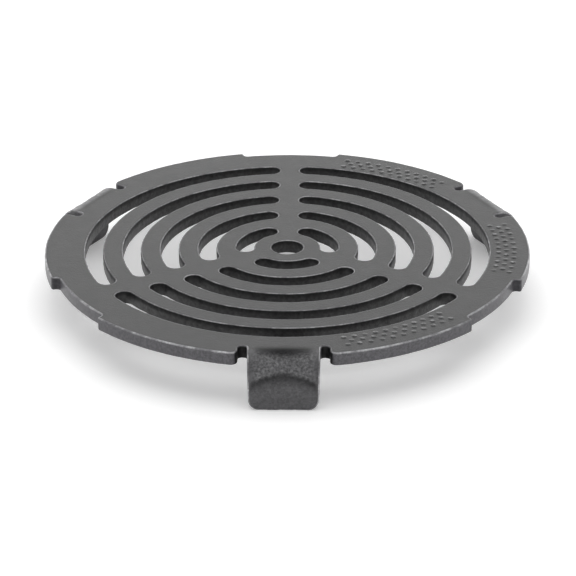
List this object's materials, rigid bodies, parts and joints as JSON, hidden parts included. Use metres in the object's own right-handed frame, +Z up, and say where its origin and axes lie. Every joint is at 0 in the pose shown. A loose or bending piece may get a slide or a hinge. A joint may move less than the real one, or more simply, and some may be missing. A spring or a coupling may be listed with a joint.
{
  "type": "floor drain grate",
  "caption": "Round iron floor drain grate with concentric arc slots, solid spokes, a centre lifting hole and bent-down legs at the rim.",
  "frame": {"origin": "on the plate's axis, half way through the plate's thickness, which is within about 1 mm of the centre of mass; the feet stand 24.35 mm below it and the tread face is 3.45 mm above it", "axes": "+Z up, square to the tread face, along the plate's axis; -Y towards the front leg; +X to the right as seen from the front leg"},
  "size_m": [0.25, 0.2513, 0.0282],
  "materials": {
    "plate_iron": "dark grey, satin, fine ground grain on the top face, rougher cast skin in the slots",
    "leg_iron": "dark grey, satin, coarse cast skin over the bend, smoother flat below it"
  },
  "bodies": {
    "root": {"grate_plate": "plate_iron", "leg_front": "leg_iron", "leg_rear_left": "leg_iron", "leg_rear_right": "leg_iron"}
  },
  "joints": []
}
